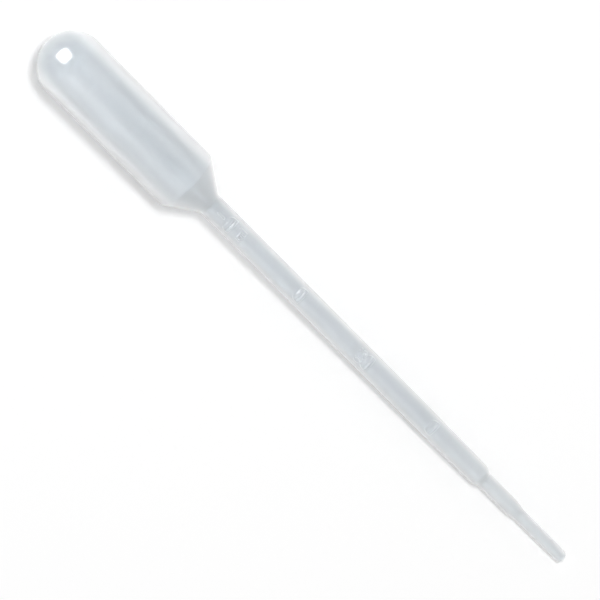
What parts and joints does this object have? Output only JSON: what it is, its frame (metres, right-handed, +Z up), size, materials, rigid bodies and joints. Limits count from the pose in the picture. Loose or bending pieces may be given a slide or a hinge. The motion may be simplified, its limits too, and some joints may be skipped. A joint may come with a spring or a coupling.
{
  "type": "dropper pipette",
  "caption": "Graduated squeeze-bulb dropper pipette, blown in one piece from soft translucent plastic, with a stepped tip.",
  "frame": {"origin": "on the floor, below the middle of the bounding box of the pipette as it lies on its side", "axes": "+X along the length towards the tip, +Z up out of the side that carries the marks, Y across"},
  "size_m": [0.1547, 0.0144, 0.0159],
  "materials": {
    "milky_plastic": "natural low-density polyethylene, translucent and slightly bluish, smooth with a soft sheen"
  },
  "bodies": {
    "root": {"pipette": "milky_plastic"}
  },
  "joints": []
}
